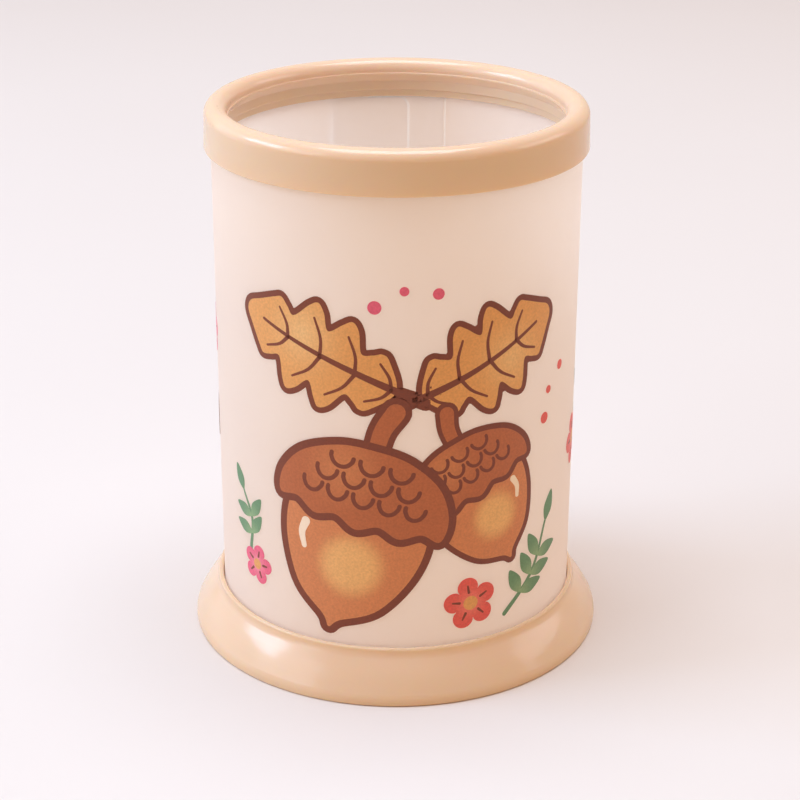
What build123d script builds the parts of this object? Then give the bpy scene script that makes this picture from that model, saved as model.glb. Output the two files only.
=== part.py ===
from build123d import *
import os
from math import cos, degrees, radians, sin

# Desk pen holder: a frosted sheet rolled into a tube stands in the groove of a flared base, and a moulded
# rim with a round bead is pushed over its top edge. The ends of the sheet lap at the back and are stuck
# together by a clear strip of tape.
# Millimetres, +Z up. The origin is the middle of the foot on the table, and the lap is on the +Y side.

# Overall sizes
overall_height = 109.5
sleeve_diameter = 72.0

# Rolled sheet: angles about Z count from +X, and the sheet draws in to its lap over the last of its turn
sheet_thickness = 0.5
lap_width = 24.7
lap_middle_angle = 93.3
draw_in_angle = 90

# Clear tape between the two plies of the lap
tape_thickness = 0.15
tape_clearance = 0.03
tape_width = 16.0
tape_end_gap = 0.6
tape_edge_gap = 0.3
tape_corner_radius = 2.2

# Room on each side of the lapped sheet in the channel of the rim and in the groove of the base
sheet_clearance = 0.15

# Rim
rim_height = 8.35
rim_skirt_wall = 1.15
rim_lean = 0.25
rim_inner_skirt_wall = 1.05
rim_inner_skirt_rise = 0.45
rim_crown = 2.4
rim_edge_radius = 0.25
lead_in_wall = 0.5
lead_in_height = 1.5
lead_in_radius = 0.15
bead_overhang = 1.0
bead_flat = 0.25
bead_face = 0.8
bead_undercut = 1.6
parting_ridge = 0.2
parting_ridge_height = 0.35
parting_ridge_radius = 0.08

# Base
base_height = 10.0
lip_wall = 1.05
lip_radius = 0.45
flare_drop = 1.4
flare_reach = 4.85
flare_bulge = 0.35
flare_bulge_radius = 20.0
cove_radius = 2.0
foot_band = 1.6
foot_round = 3.0
foot_edge_radius = 0.4
floor_height = 4.5
floor_thickness = 1.8
upstand_rise = 3.5
upstand_wall = 1.2
upstand_radius = 0.4
groove_wall = 1.2
flare_wall = 1.7
root_radius = 0.5

# Gussets under the base, between the floor and the flare
gusset_count = 12
gusset_thickness = 1.2
gusset_reach = 8.0
gusset_lift = 1.0

# Places shared by the pieces
sleeve_radius = sleeve_diameter / 2
ply_gap = tape_thickness + 2 * tape_clearance
lap_thickness = 2 * sheet_thickness + ply_gap
lap_angle = degrees(lap_width / sleeve_radius)
outer_end_angle = lap_middle_angle + lap_angle / 2
channel_outer = sleeve_radius + sheet_clearance
channel_inner = sleeve_radius - lap_thickness - sheet_clearance
sheet_top = overall_height - rim_crown
rim_bottom = overall_height - rim_height
inner_skirt_bottom = rim_bottom + rim_inner_skirt_rise
upstand_top = floor_height + upstand_rise


def turned(points, radii):
    """Turn a closed half section of (radius, height) points, with rounded corners, about Z."""
    with BuildSketch(Plane.XZ) as section:
        with BuildLine():
            FilletPolyline(*points, radius=radii, close=True)
        make_face()
    return revolve(section.sketch, Axis.Z)


def make_top_rim():
    """Ring with a round bead over a channel, a leaning outer skirt and an inner skirt with a thin lead-in.

    The bead overhangs the inner skirt by an undercut, and the mould's parting line leaves a ridge above it.
    """
    skirt_outer = channel_outer + rim_skirt_wall
    skirt_inner = channel_inner - rim_inner_skirt_wall
    lead_in_inner = channel_inner - lead_in_wall
    lead_in_top = inner_skirt_bottom + lead_in_height
    bead_outer = skirt_outer - rim_lean
    bead_inner = skirt_inner - bead_overhang
    bead_radius = (bead_outer - bead_inner - bead_flat) / 2
    bead_edge = overall_height - bead_radius - bead_face
    ridge_inner = bead_inner - parting_ridge
    ridge_top = bead_edge + parting_ridge_height
    corners = [
        ((channel_outer, rim_bottom), rim_edge_radius),
        ((skirt_outer, rim_bottom), rim_edge_radius),
        ((bead_outer, overall_height), bead_radius),
        ((bead_inner, overall_height), bead_radius),
        ((bead_inner, ridge_top), 0),
        ((ridge_inner, ridge_top), parting_ridge_radius),
        ((ridge_inner, bead_edge), parting_ridge_radius),
        ((skirt_inner, bead_edge - bead_undercut), rim_edge_radius),
        ((skirt_inner, lead_in_top), lead_in_radius),
        ((lead_in_inner, lead_in_top), lead_in_radius),
        ((lead_in_inner, inner_skirt_bottom), lead_in_radius),
        ((channel_inner, inner_skirt_bottom), lead_in_radius),
        ((channel_inner, sheet_top), 0),
        ((channel_outer, sheet_top), 0),
    ]
    points, radii = zip(*corners)
    return turned(points, radii)


def rolled_edge(start_radius):
    """Arcs along one face of the rolled sheet: about the axis, drawing in by a ply, about the axis again."""
    step = sheet_thickness + ply_gap
    shift = step / (2 * (1 - cos(radians(draw_in_angle / 2))))
    draw_start = outer_end_angle + draw_in_angle
    draw_middle = outer_end_angle + draw_in_angle / 2
    inward = Vector(1, 0, 0).rotate(Axis.Z, draw_start) * shift
    outward = Vector(1, 0, 0).rotate(Axis.Z, outer_end_angle) * -shift
    return [
        CenterArc((0, 0), start_radius, outer_end_angle, draw_in_angle - 360),
        CenterArc(inward, start_radius - shift, draw_start, -draw_in_angle / 2),
        CenterArc(outward, start_radius - step + shift, draw_middle, -draw_in_angle / 2),
        CenterArc((0, 0), start_radius - step, outer_end_angle, -lap_angle),
    ]


def make_sleeve():
    """Sheet rolled once round and lapped, from the floor of the groove to the top of the channel."""
    with BuildSketch(Plane.XY.offset(floor_height)) as section:
        with BuildLine():
            outer = rolled_edge(sleeve_radius)
            inner = rolled_edge(sleeve_radius - sheet_thickness)
            Line(outer[0] @ 0, inner[0] @ 0)
            Line(outer[-1] @ 1, inner[-1] @ 1)
        make_face()
    return extrude(section.sketch, sheet_top - floor_height)


def make_seam_tape():
    """Curved strip with rounded corners in the gap between the plies of the lap."""
    tape_outer = sleeve_radius - sheet_thickness - tape_clearance
    tape_inner = tape_outer - tape_thickness
    bottom = upstand_top + tape_edge_gap
    height = inner_skirt_bottom - tape_edge_gap - bottom
    middle_angle = outer_end_angle - degrees((tape_end_gap + tape_width / 2) / tape_outer)
    chord = 2 * tape_outer * sin(tape_width / 2 / tape_outer)
    facing = Plane((0, 0, bottom + height / 2), z_dir=Vector(1, 0, 0).rotate(Axis.Z, middle_angle))
    with BuildPart() as strip:
        with BuildSketch(Plane.XY.offset(bottom)):
            Circle(tape_outer)
            Circle(tape_inner, mode=Mode.SUBTRACT)
        extrude(amount=height)
        with BuildSketch(facing):
            RectangleRounded(chord, height, tape_corner_radius)
        extrude(amount=sleeve_radius, mode=Mode.INTERSECT)
    return strip.part


def make_base():
    """Flared moulding with a lip and an upstand round the groove, a floor, and gussets in its hollow foot.

    The flare swells a little between the cove under the lip and the round of the foot.
    """
    lip_outer = channel_outer + lip_wall
    foot_outer = lip_outer + flare_reach
    foot_inner = foot_outer - flare_wall
    flare_top = base_height - flare_drop
    hollow_inner = channel_outer + groove_wall
    flare_foot = Vector(foot_outer, foot_band)
    flare_head = Vector(lip_outer, flare_top)
    flare_rise = flare_head - flare_foot
    outward = Vector(flare_rise.Y, -flare_rise.X).normalized()
    swell = (flare_foot + flare_head) / 2 + outward * flare_bulge
    flare_slope = (flare_top - foot_band) / flare_reach
    hollow_top = foot_band + (foot_inner - hollow_inner) * flare_slope
    upstand_inner = channel_inner - upstand_wall
    floor_bottom = floor_height - floor_thickness
    corners = [
        ((0, floor_bottom), 0),
        ((hollow_inner, floor_bottom), root_radius),
        ((hollow_inner, hollow_top), root_radius),
        ((foot_inner, foot_band), root_radius),
        ((foot_inner, 0), 0),
        ((foot_outer, 0), foot_edge_radius),
        ((flare_foot.X, flare_foot.Y), foot_round),
        ((swell.X, swell.Y), flare_bulge_radius),
        ((flare_head.X, flare_head.Y), cove_radius),
        ((lip_outer, base_height), lip_radius),
        ((channel_outer, base_height), lip_radius),
        ((channel_outer, floor_height), 0),
        ((channel_inner, floor_height), 0),
        ((channel_inner, upstand_top), upstand_radius),
        ((upstand_inner, upstand_top), upstand_radius),
        ((upstand_inner, floor_height), root_radius),
        ((0, floor_height), 0),
    ]
    points, radii = zip(*corners)
    moulding = turned(points, radii)
    gusset_points = [
        (hollow_inner - gusset_reach, floor_bottom),
        (hollow_inner - gusset_reach, floor_bottom + floor_thickness / 2),
        (hollow_inner - groove_wall / 2, floor_bottom + floor_thickness / 2),
        (hollow_inner - groove_wall / 2, hollow_top),
        (foot_inner + flare_wall / 2, foot_band),
        (foot_inner + flare_wall / 2, gusset_lift),
    ]
    with BuildPart() as gusset:
        with BuildSketch(Plane.XZ):
            with BuildLine():
                Polyline(*gusset_points, close=True)
            make_face()
        extrude(amount=gusset_thickness / 2, both=True)
    return moulding + PolarLocations(0, gusset_count) * gusset.part


pieces = {
    "top_rim": make_top_rim(),
    "sleeve": make_sleeve(),
    "seam_tape": make_seam_tape(),
    "base": make_base(),
}

os.makedirs("parts", exist_ok=True)
for name, piece in pieces.items():
    export_step(piece, f"parts/{name}.step")
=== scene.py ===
"""Looks of a desk pen holder: a printed frosted sheet, rolled into a tube, between two glossy mouldings.

Finishes and the studio are measured in metres, and the print is drawn in millimetres.
"""
import logging
import math
from dataclasses import dataclass, field, replace
from enum import Enum

import bmesh
import bpy
import numpy as np
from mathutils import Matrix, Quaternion, Vector
from mathutils.bvhtree import BVHTree


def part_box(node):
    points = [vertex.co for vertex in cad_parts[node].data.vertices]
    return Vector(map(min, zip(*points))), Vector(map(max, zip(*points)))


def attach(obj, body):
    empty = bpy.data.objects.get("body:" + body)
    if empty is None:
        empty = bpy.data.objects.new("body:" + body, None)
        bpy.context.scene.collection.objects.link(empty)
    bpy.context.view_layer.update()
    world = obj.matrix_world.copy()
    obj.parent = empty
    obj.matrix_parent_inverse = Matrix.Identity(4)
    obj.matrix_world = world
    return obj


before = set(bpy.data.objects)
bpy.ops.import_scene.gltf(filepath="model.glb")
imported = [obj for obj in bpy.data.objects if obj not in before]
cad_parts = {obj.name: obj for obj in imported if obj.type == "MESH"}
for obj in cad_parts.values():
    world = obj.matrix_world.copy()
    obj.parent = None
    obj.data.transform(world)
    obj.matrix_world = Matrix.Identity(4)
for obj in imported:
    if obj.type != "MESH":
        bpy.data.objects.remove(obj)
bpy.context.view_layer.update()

BODY = "root"
MM = 0.001
SHADE = "shade"
LOG = logging.getLogger("pen_holder")

Colour = tuple[float, float, float]
Paint = tuple[float, float, float, float]
Knots = list[tuple[float, float]]
Socket = bpy.types.NodeSocket
Inputs = dict[str | int, object]


def paint(colour: Colour) -> Paint:
    """Turn an sRGB colour, as a picture shows it, into the linear colour that a shader takes.

    Args:
        colour: red, green and blue from 0 to 255.

    Returns:
        Linear red, green and blue, and an alpha of 1.
    """
    shares = [value / 255 for value in colour]
    linear = [s / 12.92 if s <= 0.04045 else ((s + 0.055) / 1.055) ** 2.4 for s in shares]
    return (linear[0], linear[1], linear[2], 1.0)


class NodeGraph:
    """The nodes of one material or of the world, made and wired by short calls.

    NOISE_RANGE is where most values of a noise lie. The others number the sockets of a mix of two colours.
    """

    NOISE_RANGE = (0.3, 0.7)
    MIX_COLOURS = (6, 7)
    MIX_RESULT = 2

    def __init__(self, owner: bpy.types.Material | bpy.types.World) -> None:
        """Start with no nodes.

        Args:
            owner: the material or world that the nodes belong to.
        """
        self.owner = owner
        owner.use_nodes = True
        self.tree = owner.node_tree
        self.tree.nodes.clear()

    @classmethod
    def of_material(cls, name: str) -> "NodeGraph":
        """Start a new material of that name."""
        return cls(bpy.data.materials.new(name))

    def add(self, kind: str, inputs: Inputs | None = None, **settings: object) -> bpy.types.Node:
        """Add a node.

        Args:
            kind: Blender's name of the node type.
            inputs: a value, or another node's output, for each input socket by name or number.
            settings: the node's own options.

        Returns:
            The new node.
        """
        node = self.tree.nodes.new(kind)
        for key, value in settings.items():
            setattr(node, key, value)
        for key, value in (inputs or {}).items():
            if isinstance(value, Socket):
                self.tree.links.new(value, node.inputs[key])
            else:
                node.inputs[key].default_value = value
        return node

    def place(self) -> Socket:
        """Give the point of the surface in the piece's own metres."""
        return self.add("ShaderNodeTexCoord").outputs["Object"]

    def noise(self, size: float, detail: float = 2.0) -> Socket:
        """Add cloudy noise.

        Args:
            size: width of one cloud in metres.
            detail: how many finer layers it has.

        Returns:
            The noise, from 0 to 1.
        """
        inputs = {"Vector": self.place(), "Scale": 1 / size, "Detail": detail}
        return self.add("ShaderNodeTexNoise", inputs).outputs["Fac"]

    def spread(self, value: Socket, low: float, high: float) -> Socket:
        """Spread the middle of a noise over a range.

        Args:
            value: the noise.
            low: result at the low end of the noise's usual range.
            high: result at the high end of that range.

        Returns:
            The spread value.
        """
        least, most = self.NOISE_RANGE
        inputs = {"Value": value, "From Min": least, "From Max": most, "To Min": low, "To Max": high}
        return self.add("ShaderNodeMapRange", inputs).outputs["Result"]

    def mix(self, share: Socket, first: Paint | Socket, second: Paint | Socket) -> Socket:
        """Mix two colours.

        Args:
            share: how much of the second colour there is.
            first: a colour or a colour output.
            second: a colour or a colour output.

        Returns:
            The mixed colour.
        """
        first_socket, second_socket = self.MIX_COLOURS
        inputs = {"Factor": share, first_socket: first, second_socket: second}
        return self.add("ShaderNodeMix", inputs, data_type="RGBA").outputs[self.MIX_RESULT]

    def bump(self, height: Socket, depth: float) -> Socket:
        """Raise the surface by a noise.

        Args:
            height: the noise.
            depth: depth of the relief in metres.

        Returns:
            The bent normal.
        """
        inputs = {"Strength": 1.0, "Distance": depth, "Height": height}
        return self.add("ShaderNodeBump", inputs).outputs["Normal"]

    def number(self, operation: str, *values: object) -> Socket:
        """Work out one number.

        Args:
            operation: Blender's name of the sum.
            values: its numbers or number outputs.

        Returns:
            The result.
        """
        return self.add("ShaderNodeMath", dict(enumerate(values)), operation=operation).outputs[0]

    def vector(self, operation: str, *values: object) -> Socket:
        """Work out one vector.

        Args:
            operation: Blender's name of the sum.
            values: its vectors or vector outputs.

        Returns:
            The result.
        """
        return self.add("ShaderNodeVectorMath", dict(enumerate(values)), operation=operation).outputs[0]

    def length(self, vector: Socket) -> Socket:
        """Measure a vector."""
        return self.add("ShaderNodeVectorMath", {0: vector}, operation="LENGTH").outputs["Value"]

    def seen(self) -> Socket:
        """Tell the rays that show a surface from those that only carry its light.

        Returns:
            1 for rays from the camera, from a mirroring face or through glass, and 0 for the others.
        """
        rays = self.add("ShaderNodeLightPath").outputs
        seen = rays["Is Camera Ray"]
        for ray in ("Is Glossy Ray", "Is Transmission Ray"):
            seen = self.number("MAXIMUM", seen, rays[ray])
        return seen

    def mix_shaders(self, share: Socket, first: bpy.types.Node, second: bpy.types.Node) -> bpy.types.Node:
        """Mix two shaders.

        Args:
            share: how much of the second shader there is.
            first: a shader node.
            second: a shader node.

        Returns:
            The node of the mix.
        """
        inputs = {"Fac": share, 1: first.outputs[0], 2: second.outputs[0]}
        return self.add("ShaderNodeMixShader", inputs)

    def done(self, surface: bpy.types.Node) -> bpy.types.Material | bpy.types.World:
        """Send a shader to the output.

        Args:
            surface: the last shader node.

        Returns:
            The material or world that the nodes belong to.
        """
        in_world = isinstance(self.owner, bpy.types.World)
        output = self.add("ShaderNodeOutputWorld" if in_world else "ShaderNodeOutputMaterial")
        self.tree.links.new(surface.outputs[0], output.inputs["Surface"])
        return self.owner


@dataclass(frozen=True)
class MouldedPlastic:
    """Glossy moulded plastic with faint flow clouds, that glows a little where it is thin."""

    name: str = "moulded_plastic_finish"
    pale: Colour = (244, 214, 187)
    deep: Colour = (241, 208, 179)
    flow_size: float = 0.030
    gloss: tuple[float, float] = (0.14, 0.19)
    gloss_size: float = 0.004
    peel_size: float = 0.0011
    peel_depth: float = 0.0000025
    glow: float = 0.3
    glow_depth: float = 0.004
    glow_colours: tuple[float, float, float] = (1.0, 0.5, 0.18)
    refraction: float = 1.5

    def material(self) -> bpy.types.Material:
        """Make the material.

        Returns:
            The finished material.
        """
        graph = NodeGraph.of_material(self.name)
        flow = graph.spread(graph.noise(self.flow_size), 0.0, 1.0)
        tone = graph.mix(flow, paint(self.deep), paint(self.pale))
        shader = graph.add("ShaderNodeBsdfPrincipled", {
            "Base Color": tone,
            "Roughness": graph.spread(graph.noise(self.gloss_size), *self.gloss),
            "Normal": graph.bump(graph.noise(self.peel_size), self.peel_depth),
            "Subsurface Weight": self.glow,
            "Subsurface Radius": self.glow_colours,
            "Subsurface Scale": self.glow_depth,
            "IOR": self.refraction,
        })
        return graph.done(shader)


@dataclass(frozen=True)
class TapeOutline:
    """The rounded outline of the tape, seen along the line from the front to the back."""

    corner: float = 0.0022

    def distance(self, graph: NodeGraph) -> Socket:
        """Measure how far a point is from the outline.

        Args:
            graph: the material's nodes.

        Returns:
            Distance in metres, negative inside the outline and there at most the corner's radius.
        """
        low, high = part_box("seam_tape")
        middle = (low + high) / 2
        half = (high - low) / 2 - Vector((self.corner, 0, self.corner))
        folded = graph.vector("ABSOLUTE", graph.vector("SUBTRACT", graph.place(), middle))
        beyond = graph.vector("MULTIPLY", graph.vector("SUBTRACT", folded, half), (1, 0, 1))
        outside = graph.vector("MAXIMUM", beyond, (0, 0, 0))
        return graph.number("SUBTRACT", graph.length(outside), self.corner)


@dataclass(frozen=True)
class FrostedSheet:
    """Milky sheet with a fine frosted face, that spreads the light it lets through and warms it.

    The adhesive in the lap wets the two faces that it joins, so they lose their frost. Along the tape's
    outline, except near the lap's left side, the sheet lets nearly all light through without warming it.
    """

    name: str = "frosted_sheet_finish"
    milk: Colour = (252, 253, 255)
    cloud: Colour = (250, 250, 253)
    cloud_size: float = 0.016
    lets_through: Colour = (255, 248, 242)
    clear: Colour = (255, 255, 255)
    through_share: float = 0.62
    gloss: tuple[float, float] = (0.40, 0.50)
    gloss_size: float = 0.003
    frost_size: float = 0.00035
    frost_depth: float = 0.000004
    refraction: float = 1.49
    lap_sides: tuple[float, float] = (-0.0141, 0.0103)
    joint_radius: float = 0.0354
    joint_half: float = 0.00015
    wet_share: float = 0.98
    outline: TapeOutline = TapeOutline()
    outline_half: float = 0.00025
    line_shift: float = 0.008
    outline_share: float = 0.97

    def cleared(self, graph: NodeGraph) -> tuple[Socket, Socket]:
        """Find where the sheet lets nearly all light through.

        Args:
            graph: the material's nodes.

        Returns:
            1 on the faces that the adhesive joins and 0 elsewhere, and the same for the tape's outline.
        """
        place = graph.place()
        apart = graph.add("ShaderNodeSeparateXYZ", {0: place})
        behind = graph.number("GREATER_THAN", apart.outputs["Y"], 0.0)
        low, high = self.lap_sides
        beside = graph.number("COMPARE", apart.outputs["X"], (low + high) / 2, (high - low) / 2)
        radius = graph.length(graph.vector("MULTIPLY", place, (1, 1, 0)))
        joined = graph.number("COMPARE", radius, self.joint_radius, self.joint_half)
        wet = graph.number("MULTIPLY", graph.number("MULTIPLY", joined, beside), behind)
        line = graph.number("COMPARE", self.outline.distance(graph), 0.0, self.outline_half)
        free_side = graph.number("GREATER_THAN", apart.outputs["X"], low + self.line_shift)
        return wet, graph.number("MULTIPLY", graph.number("MULTIPLY", line, free_side), behind)

    def material(self) -> bpy.types.Material:
        """Make the material.

        Returns:
            The finished material.
        """
        graph = NodeGraph.of_material(self.name)
        clouds = graph.spread(graph.noise(self.cloud_size), 0.0, 1.0)
        tone = graph.mix(clouds, paint(self.cloud), paint(self.milk))
        face = graph.add("ShaderNodeBsdfPrincipled", {
            "Base Color": tone,
            "Roughness": graph.spread(graph.noise(self.gloss_size), *self.gloss),
            "Normal": graph.bump(graph.noise(self.frost_size), self.frost_depth),
            "IOR": self.refraction,
        })
        wet, clear_line = self.cleared(graph)
        share = graph.number("MAXIMUM", graph.number("MULTIPLY", wet, self.wet_share), self.through_share)
        # along the tape's outline the sheet lets nearly all light through
        share = graph.number("MAXIMUM", graph.number("MULTIPLY", clear_line, self.outline_share), share)
        frostless = graph.number("MAXIMUM", wet, clear_line)
        warmth = graph.mix(frostless, paint(self.lets_through), paint(self.clear))
        through = graph.add("ShaderNodeBsdfTranslucent", {"Color": warmth})
        return graph.done(graph.mix_shaders(share, face, through))


@dataclass(frozen=True)
class ClearTape:
    """Clear adhesive strip with a whiter, less clear band along its outline."""

    name: str = "clear_tape_finish"
    film: Colour = (246, 240, 234)
    border: Colour = (255, 253, 250)
    border_width: float = 0.00055
    outline: TapeOutline = TapeOutline()
    clear_share: float = 0.985
    border_clear_share: float = 0.6
    gloss: tuple[float, float] = (0.12, 0.2)
    gloss_size: float = 0.002
    refraction: float = 1.47

    def material(self) -> bpy.types.Material:
        """Make the material.

        Returns:
            The finished material.
        """
        graph = NodeGraph.of_material(self.name)
        band = graph.add("ShaderNodeMapRange", {
            "Value": self.outline.distance(graph),
            "From Min": -self.border_width,
            "From Max": -self.border_width / 2,
        }).outputs["Result"]
        clear = graph.add("ShaderNodeMapRange", {
            "Value": band,
            "To Min": self.clear_share,
            "To Max": self.border_clear_share,
        }).outputs["Result"]
        body = graph.add("ShaderNodeBsdfPrincipled", {
            "Base Color": graph.mix(band, paint(self.film), paint(self.border)),
            "Roughness": graph.spread(graph.noise(self.gloss_size), *self.gloss),
            "IOR": self.refraction,
        })
        open_part = graph.add("ShaderNodeBsdfTransparent")
        return graph.done(graph.mix_shaders(clear, body, open_part))


@dataclass(frozen=True)
class InkFinish:
    """Printed ink: two tones sprayed into each other, with a fine speckle."""

    name: str
    tone: Colour
    glow: Colour
    speckle: float = 0.10
    speckle_size: float = 0.00045
    speckle_detail: float = 3.0
    relief: float = 0.000003
    gloss: tuple[float, float] = (0.38, 0.5)
    refraction: float = 1.48

    def material(self) -> bpy.types.Material:
        """Make the material, unless it is there already.

        Returns:
            The finished material.
        """
        known = bpy.data.materials.get(self.name)
        if known:
            return known
        graph = NodeGraph.of_material(self.name)
        sprayed = graph.add("ShaderNodeAttribute", attribute_name=SHADE).outputs["Fac"]
        tone = graph.mix(sprayed, paint(self.tone), paint(self.glow))
        grain = graph.noise(self.speckle_size, self.speckle_detail)
        tones = []
        for value in (1 - self.speckle, 1 + self.speckle):
            shifted = graph.add("ShaderNodeHueSaturation", {"Value": value, "Color": tone})
            tones.append(shifted.outputs["Color"])
        shader = graph.add("ShaderNodeBsdfPrincipled", {
            "Base Color": graph.mix(graph.spread(grain, 0.0, 1.0), *tones),
            "Roughness": graph.spread(grain, *self.gloss),
            "Normal": graph.bump(grain, self.relief),
            "IOR": self.refraction,
        })
        return graph.done(shader)


class Ink(Enum):
    """The inks of the print."""

    BARK = InkFinish("ink_bark", (126, 62, 42), (146, 78, 54))
    CARAMEL = InkFinish("ink_caramel", (214, 140, 96), (240, 192, 132))
    TOFFEE = InkFinish("ink_toffee", (186, 108, 70), (206, 132, 88))
    STRAW = InkFinish("ink_straw", (232, 172, 108), (245, 208, 152))
    CORAL = InkFinish("ink_coral", (232, 96, 92), (246, 146, 136))
    ROSE = InkFinish("ink_rose", (236, 106, 146), (248, 168, 190))
    SAGE = InkFinish("ink_sage", (104, 150, 116), (146, 184, 142))
    CHALK = InkFinish("ink_chalk", (255, 244, 232), (255, 250, 242), speckle=0.03)


class Side(Enum):
    """A side of a motif, as the sign of its places across."""

    LEFT = -1
    RIGHT = 1


def smooth_line(knots: Knots, closed: bool = False, steps: int = 10) -> np.ndarray:
    """Draw a smooth curve through a few points.

    Args:
        knots: the points.
        closed: whether the curve returns to its start.
        steps: points on the curve for each stretch between two knots.

    Returns:
        The points of the curve, one row each.
    """
    points = np.array(knots, float)
    count = len(points)
    if closed:
        around = [points[(i + k) % count] for i in range(count) for k in (-1, 0, 1, 2)]
    else:
        padded = np.vstack([2 * points[0] - points[1], points, 2 * points[-1] - points[-2]])
        around = [padded[i + k] for i in range(count - 1) for k in range(4)]
    spans = np.array(around).reshape(-1, 4, 2)
    t = np.linspace(0, 1, steps, endpoint=False)[None, :, None]
    before, start, end, after = (spans[:, k][:, None, :] for k in range(4))
    bend = 2 * before - 5 * start + 4 * end - after
    twist = 3 * (start - end) + after - before
    curve = start + 0.5 * t * (end - before + t * (bend + t * twist))
    flat = curve.reshape(-1, 2)
    return flat if closed else np.vstack([flat, points[-1]])


def mirrored(half: Knots) -> Knots:
    """Complete an outline from its right half, given from the bottom up.

    Args:
        half: points of the right half. The first and last may lie on the middle line.

    Returns:
        Points all the way round, counter-clockwise.
    """
    left = [(-x, y) for x, y in reversed(half) if x > 0]
    return half + left


def grown(loop: np.ndarray, by: float, near_share: float = 0.97) -> np.ndarray:
    """Move a counter-clockwise outline outwards, leaving out what would fold over itself.

    Args:
        loop: points of the outline.
        by: distance to move.
        near_share: share of that distance that a moved point keeps from all of the old outline.

    Returns:
        Points of the wider outline.
    """
    ahead = np.roll(loop, -1, 0) - loop
    ahead /= np.linalg.norm(ahead, axis=1, keepdims=True)
    along = ahead + np.roll(ahead, 1, 0)
    along /= np.linalg.norm(along, axis=1, keepdims=True)
    moved = loop + by * np.stack([along[:, 1], -along[:, 0]], 1)
    side = np.roll(loop, -1, 0) - loop
    reach = moved[:, None, :] - loop[None, :, :]
    share = np.clip((reach * side).sum(2) / (side * side).sum(1), 0, 1)
    gap = np.linalg.norm(reach - share[..., None] * side, axis=2).min(1)
    return moved[gap > near_share * by]


def circle(steps: int) -> np.ndarray:
    """Draw a circle of radius 1.

    Args:
        steps: points on the circle.

    Returns:
        The points, counter-clockwise.
    """
    turn = np.linspace(0, 2 * math.pi, steps, endpoint=False)
    return np.stack([np.cos(turn), np.sin(turn)], 1)


def ribbon(
    knots: Knots, start_width: float, end_width: float, steps: int = 8, end_steps: int = 8
) -> np.ndarray:
    """Draw a stroke of changing width with round ends.

    Args:
        knots: points along the middle of the stroke.
        start_width: width at the first point.
        end_width: width at the last point.
        steps: points on the stroke for each stretch between two knots.
        end_steps: stretches on the half circle at each end.

    Returns:
        Points of the stroke's outline, counter-clockwise.
    """
    middle = smooth_line(knots, steps=steps)
    along = np.gradient(middle, axis=0)
    along /= np.linalg.norm(along, axis=1, keepdims=True)
    across = np.stack([along[:, 1], -along[:, 0]], 1)
    half = np.linspace(start_width, end_width, len(middle))[:, None] / 2
    turn = np.linspace(0, math.pi, end_steps + 1)[1:-1, None]
    tip = middle[-1] + half[-1] * (across[-1] * np.cos(turn) + along[-1] * np.sin(turn))
    tail = middle[0] - half[0] * (across[0] * np.cos(turn) + along[0] * np.sin(turn))
    return np.vstack([middle + half * across, tip, (middle - half * across)[::-1], tail])


@dataclass(frozen=True)
class Spot:
    """Where a motif lies on the unrolled sheet, in millimetres and degrees."""

    across: float
    height: float
    turn: float = 0.0
    scale: float = 1.0

    def place(self, points: np.ndarray) -> np.ndarray:
        """Move points from the motif's own drawing to the sheet.

        Args:
            points: places in the drawing, in millimetres.

        Returns:
            Their places across and up the sheet.
        """
        angle = math.radians(self.turn)
        spin = np.array([[math.cos(angle), math.sin(angle)], [-math.sin(angle), math.cos(angle)]])
        return self.scale * np.asarray(points, float) @ spin + (self.across, self.height)


@dataclass(frozen=True)
class Glow:
    """A soft sprayed patch in an ink: its middle, its radius and the width of its soft edge."""

    x: float
    y: float
    radius: float
    soft: float


@dataclass(frozen=True)
class Shape:
    """One flat area of ink in a motif."""

    loop: np.ndarray
    ink: Ink
    level: int
    glow: Glow | None = None

    def on(self, spot: Spot) -> "Shape":
        """Lay the shape at a spot of the sheet.

        Args:
            spot: where its motif lies.

        Returns:
            The shape in the sheet's own millimetres.
        """
        if self.glow is None:
            return replace(self, loop=spot.place(self.loop))
        x, y = spot.place(np.array([self.glow.x, self.glow.y]))
        glow = Glow(x, y, self.glow.radius * spot.scale, self.glow.soft * spot.scale)
        return replace(self, loop=spot.place(self.loop), glow=glow)

    def shade(self, points: np.ndarray) -> np.ndarray:
        """Work out how strongly the second tone is sprayed.

        Args:
            points: places on the sheet.

        Returns:
            A share from 0 to 1 for each point.
        """
        if self.glow is None:
            return np.zeros(len(points))
        away = np.linalg.norm(points - (self.glow.x, self.glow.y), axis=1)
        share = np.clip((self.glow.radius + self.glow.soft / 2 - away) / self.glow.soft, 0, 1)
        return share * share * (3 - 2 * share)


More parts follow.
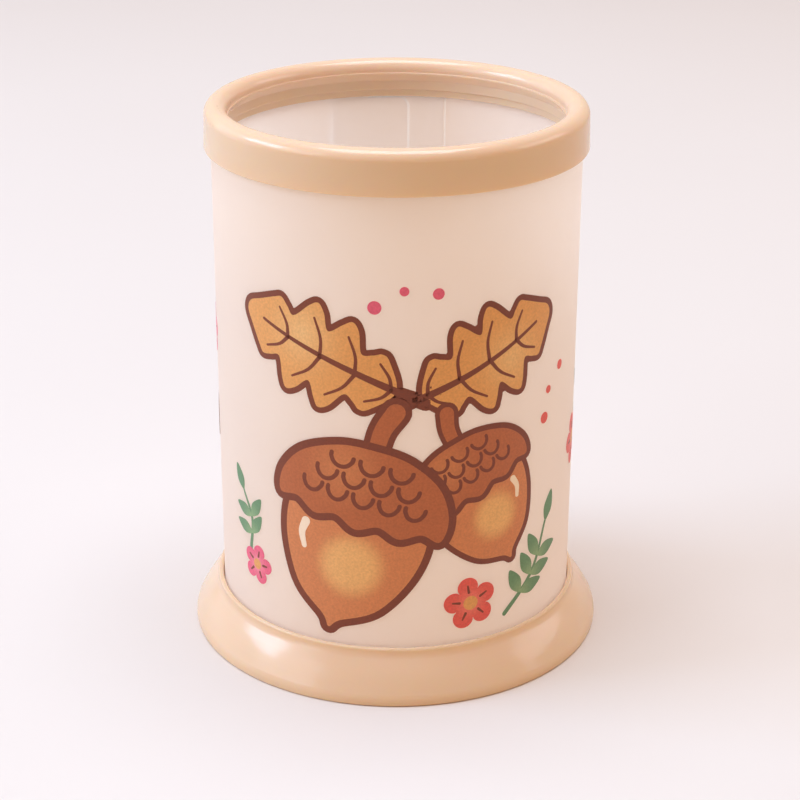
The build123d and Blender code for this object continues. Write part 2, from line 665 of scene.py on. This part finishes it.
@dataclass(frozen=True)
class Acorn:
    """An acorn that hangs from a short stem. The middle is on the edge of its cup."""

    half_width: float = 11.4
    drop: float = 18.0
    cup_half_width: float = 14.0
    cup_rise: float = 14.4
    crown_soft: float = 8.0
    stem_rise: float = 7.0
    stem_sink: float = 1.0
    stem_bends: tuple[float, float] = (0.2, 1.4)
    stem_width: float = 2.4
    stem_flare: float = 1.25
    stroke: float = 1.25
    stem_stroke_share: float = 0.8
    scale_rows: tuple[int, ...] = (5, 4, 3)
    scale_stroke: float = 0.7
    hook_shares: tuple[float, ...] = (0, 0.22, 0.36, 0.38)
    hook_rises: tuple[float, ...] = (-0.8, -0.45, 0.45, 1.1)
    row_foot_share: float = 0.36
    row_pitch_share: float = 0.2
    row_width_share: float = 1.5
    row_taper_share: float = 0.16
    glint_side: Side = Side.LEFT
    glint_widths: tuple[float, float] = (1.5, 0.9)

    def nut(self) -> np.ndarray:
        """Draw the nut down to its pointed tip.

        Returns:
            Points of its outline.
        """
        shares = [(0, -1), (0.13, -0.9), (0.62, -0.68), (0.97, -0.24), (0.97, 0.16), (0.5, 0.36)]
        half = [(x * self.half_width, y * self.drop) for x, y in shares]
        return smooth_line(mirrored(half), closed=True)

    def cup(self) -> np.ndarray:
        """Draw the cup with its wavy lower edge.

        Returns:
            Points of its outline.
        """
        edge_shares = [(0, 0.03), (0.25, 0.13), (0.5, 0.05), (0.74, 0.15)]
        dome_shares = [(0.97, 0.1), (1.0, 0.38), (0.8, 0.72), (0.4, 0.95), (0, 1)]
        half = [(x * self.cup_half_width, y * self.cup_rise) for x, y in edge_shares + dome_shares]
        return smooth_line(mirrored(half), closed=True)

    def stem(self) -> np.ndarray:
        """Draw the stem, which bends a little to the right.

        Returns:
            Points of its outline.
        """
        top = self.cup_rise + self.stem_rise
        middle_bend, top_bend = self.stem_bends
        foot = (0, self.cup_rise - self.stem_sink)
        knots = [foot, (middle_bend, (self.cup_rise + top) / 2), (top_bend, top)]
        return ribbon(knots, self.stem_width, self.stem_flare * self.stem_width)

    def cup_scales(self) -> list[np.ndarray]:
        """Draw rows of small arcs on the cup.

        Returns:
            Points of each arc's outline.
        """
        arcs = []
        for row, count in enumerate(self.scale_rows):
            level = self.cup_rise * (self.row_foot_share + self.row_pitch_share * row)
            taper = 1 - self.row_taper_share * row
            width = self.row_width_share * self.cup_half_width * taper / count
            half = [(share * width, rise) for share, rise in zip(self.hook_shares, self.hook_rises)]
            hook = [(-across, rise) for across, rise in reversed(half[1:])] + half
            for k in range(count):
                x = (k - (count - 1) / 2) * width
                knots = [(x + across, level + rise) for across, rise in hook]
                arcs.append(ribbon(knots, self.scale_stroke, self.scale_stroke, steps=4))
        return arcs

    def glint(self) -> np.ndarray:
        """Draw the pale streak on the nut's side.

        Returns:
            Points of its outline.
        """
        shares = [(0.7, -0.08), (0.72, -0.2), (0.64, -0.32)]
        knots = [(self.glint_side.value * x * self.half_width, y * self.drop) for x, y in shares]
        return ribbon(knots, *self.glint_widths)

    def shapes(self) -> list[Shape]:
        """Draw the acorn.

        Returns:
            Its areas of ink from back to front.
        """
        nut, cup, stem = self.nut(), self.cup(), self.stem()
        stem_stroke = self.stem_stroke_share * self.stroke
        belly = Glow(
            x=0.08 * self.half_width,
            y=-0.34 * self.drop,
            radius=0.42 * self.half_width,
            soft=0.3 * self.half_width,
        )
        crown = Glow(
            x=-0.3 * self.cup_half_width,
            y=0.7 * self.cup_rise,
            radius=0.3 * self.cup_half_width,
            soft=self.crown_soft,
        )
        areas = [Shape(grown(nut, self.stroke), Ink.BARK, 0), Shape(nut, Ink.CARAMEL, 1, belly)]
        areas += [Shape(grown(stem, stem_stroke), Ink.BARK, 2), Shape(stem, Ink.TOFFEE, 3)]
        areas += [Shape(grown(cup, self.stroke), Ink.BARK, 4), Shape(cup, Ink.TOFFEE, 5, crown)]
        areas += [Shape(arc, Ink.BARK, 6) for arc in self.cup_scales()]
        areas.append(Shape(self.glint(), Ink.CHALK, 6))
        return areas


@dataclass(frozen=True)
class OakLeaf:
    """A lobed leaf that points up from the foot of its stalk."""

    length: float = 34.0
    half_width: float = 10.0
    stalk: float = 6.0
    stroke: float = 1.15
    lobe_shares: tuple[float, ...] = (0.6, 0.95, 0.98, 0.66)
    lobed_share: float = 0.86
    first_lobe_share: float = 0.15
    shoulder_share: float = 0.86
    shoulder_rise_shares: tuple[float, float] = (-0.24, 0.2)
    dip_share: float = 0.58
    dip_rise_share: float = 0.5
    stalk_sink_share: float = 0.1
    stalk_widths: tuple[float, float] = (3.2, 2.4)
    midrib_shares: tuple[float, float] = (0.3, 0.86)
    midrib_widths: tuple[float, float] = (1.7, 0.6)
    midrib_bend: float = 0.4
    vein_widths: tuple[float, float] = (0.8, 0.45)

    def lobes(self) -> Knots:
        """Place the tips of the lobes on the right side.

        Returns:
            The tips, the lowest first.
        """
        pitch = self.lobed_share / len(self.lobe_shares)
        return [
            (share * self.half_width, self.length * (self.first_lobe_share + pitch * k))
            for k, share in enumerate(self.lobe_shares)
        ]

    def blade(self) -> np.ndarray:
        """Draw the blade from lobe to lobe.

        Returns:
            Points of its outline.
        """
        half = [(0, 0)]
        lobes = self.lobes()
        rise = self.length * self.lobed_share / len(lobes)
        lower, upper = (share * rise for share in self.shoulder_rise_shares)
        for k, (x, y) in enumerate(lobes):
            shoulder = self.shoulder_share * x
            half += [(shoulder, y + lower), (x, y), (shoulder, y + upper)]
            if k + 1 < len(lobes):
                dip = self.dip_share * (x + lobes[k + 1][0]) / 2
                half.append((dip, y + self.dip_rise_share * rise))
        tip_shares = [(0.3, 0.93), (0.14, 0.985), (0, 1)]
        half += [(x * self.half_width, y * self.length) for x, y in tip_shares]
        return smooth_line(mirrored(half), closed=True, steps=6)

    def veins(self) -> list[np.ndarray]:
        """Draw the midrib and a side vein into each lobe.

        Returns:
            Points of each vein's outline.
        """
        bend_share, end_share = self.midrib_shares
        bend = (self.midrib_bend, bend_share * self.length)
        lines = [ribbon([(0, -self.stalk), bend, (0, end_share * self.length)], *self.midrib_widths)]
        vein_shares = [(0, 0.12), (0.36, 0.085), (0.68, 0.01)]
        for x, y in self.lobes():
            for side in Side:
                reach = side.value * x
                knots = [(across * reach, y - drop * self.length) for across, drop in vein_shares]
                lines.append(ribbon(knots, *self.vein_widths, steps=5))
        return lines

    def shapes(self) -> list[Shape]:
        """Draw the leaf.

        Returns:
            Its areas of ink from back to front.
        """
        blade = self.blade()
        stalk = ribbon([(0, -self.stalk), (0, self.stalk_sink_share * self.length)], *self.stalk_widths)
        light = Glow(
            x=0.25 * self.half_width,
            y=0.6 * self.length,
            radius=0.3 * self.half_width,
            soft=1.5 * self.half_width,
        )
        areas = [Shape(grown(blade, self.stroke), Ink.BARK, 0), Shape(stalk, Ink.BARK, 0)]
        areas.append(Shape(blade, Ink.STRAW, 1, light))
        areas += [Shape(vein, Ink.BARK, 2) for vein in self.veins()]
        return areas


@dataclass(frozen=True)
class Blossom:
    """A small open flower with round petals."""

    radius: float = 5.6
    petals: int = 5
    petal_steps: int = 30
    notch_share: float = 0.58
    petal_share: float = 0.42
    petal_fullness: float = 0.6
    heart_share: float = 0.27
    heart_steps: int = 40
    vein_shares: tuple[float, float] = (0.42, 0.68)
    vein_widths: tuple[float, float] = (0.55, 0.35)
    ink: Ink = Ink.CORAL

    def crown(self) -> np.ndarray:
        """Draw the petals.

        Returns:
            Points of their outline.
        """
        angle = np.linspace(0, 2 * math.pi, self.petal_steps * self.petals, endpoint=False)
        swell = np.abs(np.cos(self.petals * angle / 2)) ** self.petal_fullness
        reach = self.radius * (self.notch_share + self.petal_share * swell)
        return np.stack([reach * np.sin(-angle), reach * np.cos(angle)], 1)

    def shapes(self) -> list[Shape]:
        """Draw the flower.

        Returns:
            Its areas of ink from back to front.
        """
        heart = self.heart_share * self.radius * circle(self.heart_steps)
        heart_glow = Glow(x=0, y=0, radius=0.3 * self.radius, soft=0.9 * self.radius)
        areas = [Shape(self.crown(), self.ink, 0, heart_glow)]
        for k in range(self.petals):
            angle = 2 * math.pi * k / self.petals
            way = np.array([math.sin(angle), math.cos(angle)])
            knots = [tuple(share * self.radius * way) for share in self.vein_shares]
            areas.append(Shape(ribbon(knots, *self.vein_widths), Ink.BARK, 1))
        areas.append(Shape(heart, Ink.STRAW, 1))
        return areas


@dataclass(frozen=True)
class Sprig:
    """A bent stalk with pairs of small leaves."""

    length: float = 20.0
    pairs: int = 3
    leaf_length: float = 6.4
    leaf_width: float = 3.0
    bend: float = 3.0
    tip_bend_share: float = 0.6
    stalk_widths: tuple[float, float] = (1.1, 0.6)
    first_pair_share: float = 0.25
    leafy_share: float = 0.6
    leans: tuple[float, float] = (-58, 52)
    tip_lean: float = -10
    glow_soft: float = 5.0

    def leaf(self, foot: tuple[float, float], lean: float) -> np.ndarray:
        """Draw one pointed leaf.

        Args:
            foot: where it grows from the stalk.
            lean: its angle from upright in degrees, to the right.

        Returns:
            Points of its outline.
        """
        shares = [(0, 0), (0.4, 0.25), (0.5, 0.5), (0.28, 0.82), (0, 1)]
        knots = mirrored([(x * self.leaf_width, y * self.leaf_length) for x, y in shares])
        return Spot(foot[0], foot[1], -lean).place(smooth_line(knots, closed=True, steps=6))

    def shapes(self) -> list[Shape]:
        """Draw the sprig.

        Returns:
            Its areas of ink from back to front.
        """
        knots = [(0, 0), (self.bend, self.length / 2), (self.tip_bend_share * self.bend, self.length)]
        areas = [Shape(ribbon(knots, *self.stalk_widths), Ink.SAGE, 0)]
        line = smooth_line(knots)
        for k in range(self.pairs):
            foot = line[int(len(line) * (self.first_pair_share + self.leafy_share * k / self.pairs))]
            glow = Glow(x=foot[0], y=foot[1], radius=0.3 * self.leaf_length, soft=self.glow_soft)
            areas += [Shape(self.leaf(tuple(foot), lean), Ink.SAGE, 1, glow) for lean in self.leans]
        areas.append(Shape(self.leaf(tuple(line[-1]), self.tip_lean), Ink.SAGE, 1))
        return areas


@dataclass(frozen=True)
class Dots:
    """A loose row of small round dots."""

    radii: tuple[float, ...] = (1.3, 0.9, 1.1)
    pitch: float = 6.0
    stagger: float = 2.0
    steps: int = 28
    ink: Ink = Ink.ROSE

    def shapes(self) -> list[Shape]:
        """Draw the dots.

        Returns:
            An area of ink for each dot.
        """
        return [
            Shape(radius * circle(self.steps) + (k * self.pitch, self.stagger * (k % 2)), self.ink, 0)
            for k, radius in enumerate(self.radii)
        ]


Motif = Acorn | OakLeaf | Blossom | Sprig | Dots


@dataclass(frozen=True)
class Stamp:
    """One printed motif: its name, what it is, where it lies and how many levels of ink lie under it."""

    name: str
    motif: Motif
    spot: Spot
    level: int = 0


@dataclass
class Print:
    """The print on the sheet: closed layers of ink over its outer face, with sizes in millimetres.

    Every layer starts at half of ink_lift over the sheet. Its top lies at ink_lift and one level_depth more,
    and higher by a level_depth for each level of ink under it. Its tiles let it bend with the sheet.
    """

    ink_lift: float = 0.04
    level_depth: float = 0.008
    tile: tuple[float, float] = (1.0, 1.5)
    cut_tolerance: float = 1e-5
    sharp_angle: float = math.radians(40)
    face: BVHTree = field(init=False)
    radius: float = field(init=False)

    def __post_init__(self) -> None:
        """Take up the sheet's faces and its radius."""
        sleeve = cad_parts["sleeve"]
        self.face = BVHTree.FromObject(sleeve, bpy.context.evaluated_depsgraph_get())
        self.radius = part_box("sleeve")[1].x / MM

    def tiles(self, loop: np.ndarray) -> tuple[np.ndarray, list[tuple[int, ...]], list[tuple[int, int]]]:
        """Fill an outline with small triangles.

        Args:
            loop: points of the outline.

        Returns:
            The points, the triangles and the outline's edges in order of direction.
        """
        flat = bmesh.new()
        flat.faces.new([flat.verts.new((x, y, 0)) for x, y in loop])
        for axis, pitch in enumerate(self.tile):
            low, high = loop[:, axis].min(), loop[:, axis].max()
            normal = (1 - axis, axis, 0)
            for k in range(math.ceil(low / pitch), math.ceil(high / pitch)):
                everything = flat.verts[:] + flat.edges[:] + flat.faces[:]
                line = Vector(normal) * (k * pitch)
                bmesh.ops.bisect_plane(
                    flat, geom=everything, dist=self.cut_tolerance, plane_co=line, plane_no=normal
                )
        bmesh.ops.triangulate(flat, faces=flat.faces[:])
        flat.verts.index_update()
        points = np.array([vert.co.xy for vert in flat.verts])
        triangles = [tuple(vert.index for vert in face.verts) for face in flat.faces]
        rim = [edge.link_loops[0] for edge in flat.edges if len(edge.link_loops) == 1]
        edges = [(corner.vert.index, corner.link_loop_next.vert.index) for corner in rim]
        if sum(a[0] * b[1] - a[1] * b[0] for a, b in zip(loop, np.roll(loop, -1, 0))) < 0:
            triangles = [face[::-1] for face in triangles]
            edges = [edge[::-1] for edge in edges]
        flat.free()
        return points, triangles, edges

    def wrap(self, points: np.ndarray, lifts: tuple[float, float]) -> list[Vector]:
        """Roll flat points onto the sheet.

        Args:
            points: places across and up the sheet in millimetres.
            lifts: two heights over the sheet in millimetres.

        Returns:
            The points at the first height, then those at the second, in metres.
        """
        inner, outer = [], []
        for across, height in points:
            angle = across / self.radius - math.pi / 2
            out = Vector((math.cos(angle), math.sin(angle), 0))
            start = out * (2 * self.radius * MM) + Vector((0, 0, height * MM))
            hit = self.face.ray_cast(start, -out)[0]
            inner.append(hit + out * (lifts[0] * MM))
            outer.append(hit + out * (lifts[1] * MM))
        return inner + outer

    def stamp(self, order: Stamp) -> bpy.types.Object:
        """Print one motif.

        Args:
            order: the motif, its name and its place.

        Returns:
            The piece, a closed layer for each area of ink.
        """
        verts, faces, inks, shades, slots = [], [], [], [], []
        for shape in (part.on(order.spot) for part in order.motif.shapes()):
            if shape.ink not in slots:
                slots.append(shape.ink)
            points, triangles, edges = self.tiles(shape.loop)
            base, count = len(verts), len(points)
            level = self.ink_lift + (order.level + shape.level) * self.level_depth
            verts += self.wrap(points, (self.ink_lift / 2, level + self.level_depth))
            top = [tuple(base + count + k for k in face) for face in triangles]
            under = [tuple(base + k for k in reversed(face)) for face in triangles]
            sides = [(base + a, base + b, base + count + b, base + count + a) for a, b in edges]
            faces += top + under + sides
            inks += [slots.index(shape.ink)] * (len(top) + len(under) + len(sides))
            shades += list(shape.shade(points)) * 2
        mesh = bpy.data.meshes.new(order.name)
        mesh.from_pydata(verts, [], faces)
        for ink in slots:
            mesh.materials.append(ink.value.material())
        mesh.polygons.foreach_set("material_index", inks)
        mesh.polygons.foreach_set("use_smooth", [True] * len(faces))
        mesh.attributes.new(SHADE, "FLOAT", "POINT").data.foreach_set("value", shades)
        mesh.set_sharp_from_angle(angle=self.sharp_angle)
        piece = bpy.data.objects.new(order.name, mesh)
        bpy.context.scene.collection.objects.link(piece)
        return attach(piece, BODY)


def dressed(node: str, material: bpy.types.Material) -> bpy.types.Object:
    """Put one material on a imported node.

    Args:
        node: the node's name.
        material: its finish.

    Returns:
        The node's object.
    """
    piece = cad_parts[node]
    for slot in piece.material_slots:
        slot.material = material
    return piece


@dataclass(frozen=True)
class Moulding:
    """A moulded ring of the holder, the rim or the base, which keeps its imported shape."""

    node: str

    def dress(self, material: bpy.types.Material) -> bpy.types.Object:
        """Give the node its finish."""
        return dressed(self.node, material)


def front_stamps() -> tuple[Stamp, ...]:
    """List the motifs on the front: two acorns under two leaves, with flowers beside them.

    Returns:
        The motifs, the lowest first.
    """
    return (
        Stamp("print_leaf_left", OakLeaf(), Spot(0, 63.5, 68), 0),
        Stamp("print_leaf_right", OakLeaf(length=31), Spot(5, 62.5, -66), 0),
        Stamp("print_acorn_right", Acorn(glint_side=Side.RIGHT), Spot(17, 40.5, 26, 0.92), 3),
        Stamp("print_acorn_left", Acorn(), Spot(-8, 34.5, -14, 1.22), 10),
        Stamp("print_sprig_right", Sprig(), Spot(23, 13.5, -30), 0),
        Stamp("print_flower_coral", Blossom(), Spot(15, 18, 10), 4),
        Stamp("print_flower_rose", Blossom(radius=4.2, ink=Ink.ROSE), Spot(-31, 21.5, -12), 3),
        Stamp("print_sprig_left", Sprig(length=14, pairs=2), Spot(-33, 24.5, 18, 0.85), 0),
        Stamp("print_dots_top", Dots(), Spot(-4, 80, 12), 0),
        Stamp("print_dots_right", Dots(ink=Ink.CORAL), Spot(33, 52.5, 60, 0.9), 0),
    )


def side_stamps() -> tuple[Stamp, ...]:
    """List the smaller motifs on the sides and the back.

    Returns:
        The motifs, the lowest first.
    """
    return (
        Stamp("print_side_flower_right", Blossom(), Spot(50, 42, 20), 0),
        Stamp("print_side_sprig_right", Sprig(), Spot(54, 46, -20), 0),
        Stamp("print_side_leaf_right", OakLeaf(length=26, half_width=8), Spot(74, 56, -38), 0),
        Stamp("print_side_acorn_right", Acorn(), Spot(70, 40, 12, 0.8), 3),
        Stamp("print_side_leaf_left", OakLeaf(length=26, half_width=8), Spot(-70, 58, 40), 0),
        Stamp("print_side_acorn_left", Acorn(), Spot(-66, 42, -12, 0.8), 3),
        Stamp("print_side_flower_left", Blossom(ink=Ink.ROSE), Spot(-54, 64, 0, 0.9), 0),
        Stamp("print_back_flower", Blossom(), Spot(100, 34, 0), 0),
        Stamp("print_back_sprig", Sprig(), Spot(103, 38, -16), 0),
    )


@dataclass(frozen=True)
class Sleeve:
    """The rolled sheet, its seam tape and the print on its outer face."""

    sheet: FrostedSheet = FrostedSheet()
    tape: ClearTape = ClearTape()
    stamps: tuple[Stamp, ...] = field(default_factory=lambda: front_stamps() + side_stamps())

    def dress(self) -> list[bpy.types.Object]:
        """Finish the sheet and the tape, then print the motifs.

        Returns:
            The sheet, the tape and the printed motifs.
        """
        pieces = [dressed("sleeve", self.sheet.material()), dressed("seam_tape", self.tape.material())]
        printer = Print()
        return pieces + [printer.stamp(order) for order in self.stamps]


@dataclass(frozen=True)
class Softbox:
    """A flat studio lamp, aimed at the middle of the holder: angles in degrees and power in watts."""

    name: str
    azimuth: float
    elevation: float
    distance: float
    size: tuple[float, float]
    power: float
    colour: Colour

    def hang(self, aim: Vector) -> bpy.types.Object:
        """Hang the lamp.

        Args:
            aim: the point that it faces.

        Returns:
            The lamp.
        """
        around, up = math.radians(self.azimuth), math.radians(self.elevation)
        away = Vector((math.cos(around) * math.cos(up), math.sin(around) * math.cos(up), math.sin(up)))
        data = bpy.data.lights.new(self.name, "AREA")
        data.shape = "RECTANGLE"
        data.size, data.size_y = self.size
        data.energy = self.power
        data.color = paint(self.colour)[:3]
        lamp = bpy.data.objects.new(self.name, data)
        lamp.location = aim + away * self.distance
        lamp.rotation_mode = "QUATERNION"
        lamp.rotation_quaternion = (-away).to_track_quat("-Z", "Y")
        bpy.context.scene.collection.objects.link(lamp)
        return lamp


@dataclass(frozen=True)
class Studio:
    """The pale floor, the soft light and the camera of the photograph's view."""

    floor_half: float = 3.0
    floor_drop: float = 0.00005
    floor_bounce: Colour = (238, 212, 174)
    floor_fade: tuple[float, float] = (0.8, 1.7)
    floor_pale: Colour = (234, 232, 231)
    floor_deep: Colour = (232, 229, 228)
    floor_cloud_size: float = 0.35
    floor_gloss: tuple[float, float] = (0.75, 0.85)
    floor_gloss_size: float = 0.05
    air: Colour = (255, 188, 112)
    air_light: float = 0.35
    air_seen_colour: Colour = (238, 217, 199)
    look_at: tuple[float, float, float] = (0, 0, 0.0468)
    aim: tuple[float, float, float] = (0.0008, 0, 0.0469)
    lens: float = 89.54
    sensor: float = 36.0
    distance: float = 0.4062
    pitch: float = 22.79
    roll: float = 0.206
    lamps: tuple[Softbox, ...] = (
        Softbox("key_left", 180, 31.5, 1.6, (0.76, 0.55), 10.2, (188, 222, 255)),
        Softbox("wall_left", 162, 10, 1.6, (1.5, 1.3), 5.6, (196, 226, 255)),
        Softbox("front_left", 205, 25, 1.6, (1.0, 0.8), 4.9, (228, 240, 255)),
        Softbox("fill_right", 6, 23, 1.6, (1.1, 0.5), 3.6, (242, 244, 252)),
        Softbox("top", 90, 88, 1.6, (1.2, 1.0), 22.0, (232, 242, 255)),
    )

    def floor_material(self) -> bpy.types.Material:
        """Make the floor's finish, which looks paler than the light it sends back and fades far away.

        Returns:
            The finished material.
        """
        graph = NodeGraph.of_material("floor_finish")
        cloud = graph.spread(graph.noise(self.floor_cloud_size), 0.0, 1.0)
        pale = graph.mix(cloud, paint(self.floor_deep), paint(self.floor_pale))
        shader = graph.add("ShaderNodeBsdfPrincipled", {
            "Base Color": graph.mix(graph.seen(), paint(self.floor_bounce), pale),
            "Roughness": graph.spread(graph.noise(self.floor_gloss_size), *self.floor_gloss),
        })
        away = graph.length(graph.vector("MULTIPLY", graph.place(), (1, 1, 0)))
        span = {"Value": away, "From Min": self.floor_fade[0], "From Max": self.floor_fade[1]}
        fade = graph.add("ShaderNodeMapRange", span, interpolation_type="SMOOTHSTEP").outputs["Result"]
        gone = graph.add("ShaderNodeBsdfTransparent")
        return graph.done(graph.mix_shaders(fade, shader, gone))

    def floor(self) -> bpy.types.Object:
        """Lay the floor.

        Returns:
            The floor, just under the foot.
        """
        mesh = bpy.data.meshes.new("floor")
        h, z = self.floor_half, -self.floor_drop
        mesh.from_pydata([(-h, -h, z), (h, -h, z), (h, h, z), (-h, h, z)], [], [(0, 1, 2, 3)])
        mesh.materials.append(self.floor_material())
        floor = bpy.data.objects.new("floor", mesh)
        bpy.context.scene.collection.objects.link(floor)
        return floor

    def world(self) -> None:
        """Fill the air with soft light, and show it paler than it shines."""
        world = bpy.data.worlds.new("studio_air")
        graph = NodeGraph(world)
        light = graph.add("ShaderNodeBackground", {"Color": paint(self.air), "Strength": self.air_light})
        sight = graph.add("ShaderNodeBackground", {"Color": paint(self.air_seen_colour)})
        graph.done(graph.mix_shaders(graph.seen(), light, sight))
        bpy.context.scene.world = world

    def camera(self) -> bpy.types.Object:
        """Set up the camera.

        Returns:
            The camera, which the scene then uses.
        """
        up = math.radians(self.pitch)
        eye = Vector(self.look_at) + self.distance * Vector((0, -math.cos(up), math.sin(up)))
        data = bpy.data.cameras.new("camera")
        data.sensor_width = self.sensor
        data.lens = self.lens
        camera = bpy.data.objects.new("camera", data)
        camera.location = eye
        camera.rotation_mode = "QUATERNION"
        level = (Vector(self.aim) - eye).to_track_quat("-Z", "Y")
        camera.rotation_quaternion = level @ Quaternion((0, 0, 1), math.radians(self.roll))
        bpy.context.scene.collection.objects.link(camera)
        bpy.context.scene.camera = camera
        return camera

    def build(self) -> None:
        """Set up the floor, the air, the lamps and the camera."""
        self.floor()
        self.world()
        for softbox in self.lamps:
            softbox.hang(Vector(self.look_at))
        self.camera()
        bpy.context.scene.view_settings.view_transform = "Standard"


def main() -> None:
    """Dress the holder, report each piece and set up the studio."""
    logging.basicConfig(level=logging.INFO, format="%(message)s")
    plastic = MouldedPlastic().material()
    pieces = [Moulding("top_rim").dress(plastic), Moulding("base").dress(plastic)]
    pieces += Sleeve().dress()
    for piece in pieces:
        finishes = ", ".join(slot.material.name for slot in piece.material_slots)
        LOG.info("%s: %d faces in %s", piece.name, len(piece.data.polygons), finishes)
    Studio().build()


if __name__ == "__main__":
    main()
